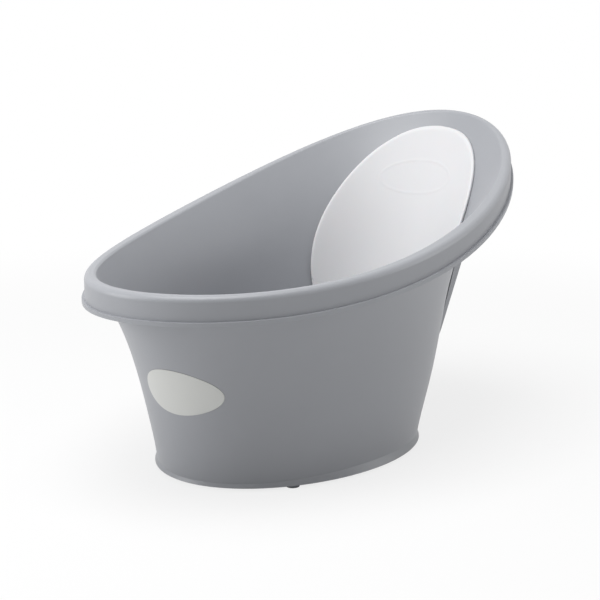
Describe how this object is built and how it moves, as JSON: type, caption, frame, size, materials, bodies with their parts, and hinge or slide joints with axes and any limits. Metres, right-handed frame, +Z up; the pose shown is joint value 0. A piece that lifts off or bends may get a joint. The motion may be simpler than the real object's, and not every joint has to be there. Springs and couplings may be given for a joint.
{
  "type": "baby bathtub",
  "caption": "Moulded baby bathtub whose rim rises to a padded backrest, with a drain plug, rubber feet and a leg that folds out under the head end.",
  "frame": {"origin": "on the floor, under the middle of the rim's outline", "axes": "+X towards the head end, along the tub; +Z up; +Y towards the left side seen from the foot end looking to the head end"},
  "size_m": [0.626, 0.376, 0.3475],
  "materials": {
    "tub_plastic": "satin moulded polypropylene",
    "pad_foam": "soft closed-cell foam",
    "badge_plastic": "satin",
    "plug_rubber": "moulded silicone",
    "leg_plastic": "satin moulded polypropylene",
    "pin_plastic": "moulded acetal",
    "grip_rubber": "moulded rubber",
    "foot_rubber": "moulded rubber"
  },
  "bodies": {
    "tub": {"tub_shell": "tub_plastic", "backrest_pad": "pad_foam", "front_badge": "badge_plastic", "leg_hinge_pin_left": "pin_plastic", "leg_hinge_pin_right": "pin_plastic", "rubber_foot_front_left": "foot_rubber", "rubber_foot_front_right": "foot_rubber", "rubber_foot_rear_left": "foot_rubber", "rubber_foot_rear_right": "foot_rubber"},
    "leg": {"fold_leg": "leg_plastic", "leg_grip_left": "grip_rubber", "leg_grip_right": "grip_rubber"},
    "plug": {"drain_plug": "plug_rubber"}
  },
  "joints": [
    {"name": "leg_fold", "type": "hinge", "parent": "tub", "child": "leg", "pos_m": [0.2989, 0, 0.285], "axis": [0, -1, 0], "range_deg": [0, 34]},
    {"name": "plug_lift", "type": "slide", "parent": "tub", "child": "plug", "axis": [0, 0, 1], "range_m": [0, 0.03]}
  ]
}
